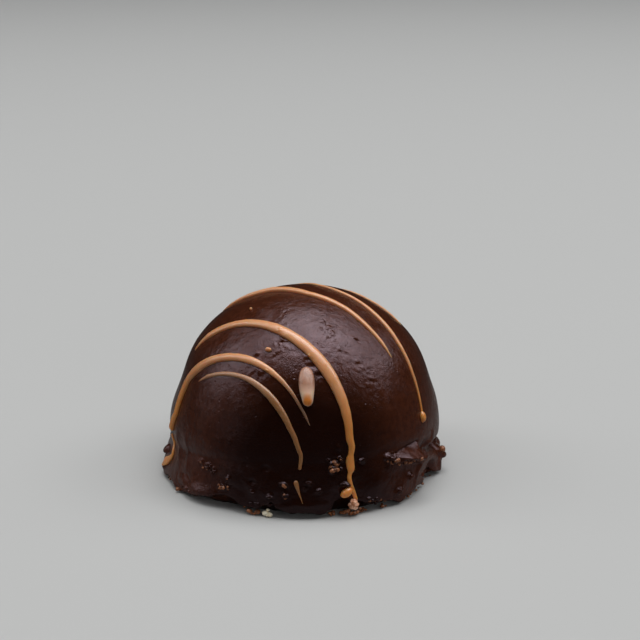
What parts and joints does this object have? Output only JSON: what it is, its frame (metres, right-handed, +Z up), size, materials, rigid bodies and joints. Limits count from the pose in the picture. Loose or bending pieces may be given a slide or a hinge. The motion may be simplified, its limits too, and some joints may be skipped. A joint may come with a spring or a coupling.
{
  "type": "chocolate mousse cake",
  "caption": "Dome-shaped chocolate mousse cake in dark glaze on a thin biscuit disc, with a lumpy skirt at its foot and caramel icing piped across it in strokes.",
  "frame": {"origin": "middle of the resting face, on the dome's upright axis", "axes": "+Z up, -Y to the front where the skirt is tallest and the longest icing run comes down, +X to the right seen from the front"},
  "size_m": [0.0834, 0.0848, 0.0548],
  "materials": {
    "chocolate_glaze": "satin dark chocolate glaze, smooth on the dome and rough with crumbs on the skirt",
    "caramel_icing": "soft satin caramel-coloured icing",
    "biscuit": "dry, coarse, dark biscuit crumb"
  },
  "bodies": {
    "root": {"glazed_cake": "chocolate_glaze", "biscuit_base": "biscuit", "icing_stroke_1": "caramel_icing", "icing_stroke_2": "caramel_icing", "icing_stroke_3": "caramel_icing", "icing_stroke_4": "caramel_icing", "icing_stroke_5": "caramel_icing", "icing_stroke_6": "caramel_icing", "icing_stroke_7": "caramel_icing", "icing_stroke_8": "caramel_icing", "icing_stroke_9": "caramel_icing", "icing_dash": "caramel_icing", "icing_side_run": "caramel_icing", "icing_drop": "caramel_icing", "icing_ball": "caramel_icing", "biscuit_crumb": "biscuit"}
  },
  "joints": []
}
